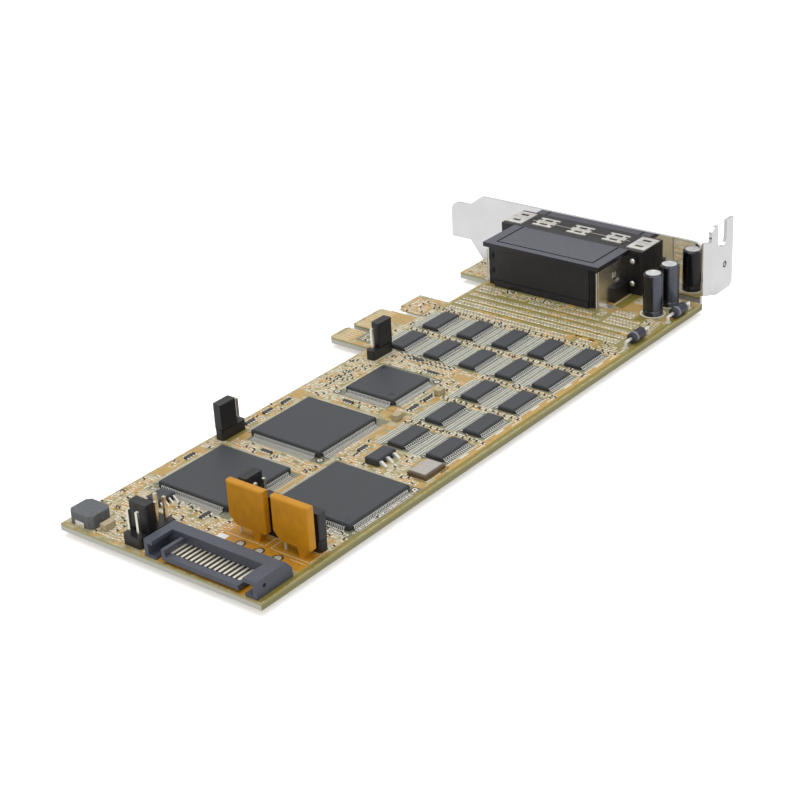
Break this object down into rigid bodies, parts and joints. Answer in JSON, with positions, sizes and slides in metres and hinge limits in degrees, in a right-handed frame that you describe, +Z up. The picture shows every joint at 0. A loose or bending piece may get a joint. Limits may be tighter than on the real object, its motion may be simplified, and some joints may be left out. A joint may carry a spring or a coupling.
{
  "type": "serial port card",
  "caption": "Low-profile expansion card with a two-deck serial port connector, bright end bracket, flat chips, pin headers and a front power socket.",
  "frame": {"origin": "middle of the key notch between the two contact tabs, where the contact tips end, on the underside of the board", "axes": "+X along the card towards the bracket, +Y towards the contact tips, +Z up from the component side"},
  "size_m": [0.1821, 0.0802, 0.0219],
  "materials": {
    "board_laminate": "satin",
    "gold_plating": "polished",
    "bright_steel": "polished",
    "plated_metal": "satin",
    "pin_metal": "polished",
    "black_plastic": "matte",
    "cover_plastic": "matte",
    "chip_plastic": "matte",
    "slate_plastic": "matte",
    "capacitor_sleeve": "satin",
    "diode_body": "matte",
    "ochre_coating": "satin",
    "grey_ferrite": "matte"
  },
  "bodies": {
    "root": {"bracket": "bright_steel", "bridge_chip": "chip_plastic", "capacitor_far": "capacitor_sleeve", "capacitor_near": "capacitor_sleeve", "circuit_board": "board_laminate", "diode_far": "diode_body", "diode_near": "diode_body", "driver_chip": "chip_plastic", "edge_contacts_top": "gold_plating", "edge_contacts_underside": "gold_plating", "end_clips": "plated_metal", "fuse_left": "ochre_coating", "fuse_right": "ochre_coating", "ground_plate_left": "plated_metal", "ground_plate_right": "plated_metal", "header_contacts": "black_plastic", "header_edge": "black_plastic", "header_front": "black_plastic", "header_middle": "black_plastic", "header_pins": "pin_metal", "header_right": "black_plastic", "host_body": "black_plastic", "host_cover": "cover_plastic", "inductor": "grey_ferrite", "jackscrews": "plated_metal", "jumper_contacts": "black_plastic", "jumper_edge": "black_plastic", "jumper_front": "black_plastic", "jumper_middle": "black_plastic", "jumper_right_1": "black_plastic", "jumper_right_2": "black_plastic", "jumper_right_3": "black_plastic", "lower_port_blade": "black_plastic", "lower_port_shell": "plated_metal", "middle_clips": "plated_metal", "oscillator": "plated_metal", "port_controller_left": "chip_plastic", "port_controller_middle": "chip_plastic", "port_controller_right": "chip_plastic", "power_contacts": "gold_plating", "power_housing": "slate_plastic", "regulator": "chip_plastic", "transceiver_01": "chip_plastic", "transceiver_02": "chip_plastic", "transceiver_03": "chip_plastic", "transceiver_04": "chip_plastic", "transceiver_05": "chip_plastic", "transceiver_06": "chip_plastic", "transceiver_07": "chip_plastic", "transceiver_08": "chip_plastic", "transceiver_09": "chip_plastic", "transceiver_10": "chip_plastic", "transceiver_11": "chip_plastic", "transceiver_12": "chip_plastic", "transceiver_13": "chip_plastic", "transceiver_14": "chip_plastic", "transceiver_15": "chip_plastic", "transceiver_16": "chip_plastic", "upper_port_blade": "black_plastic", "upper_port_shell": "plated_metal"}
  },
  "joints": []
}
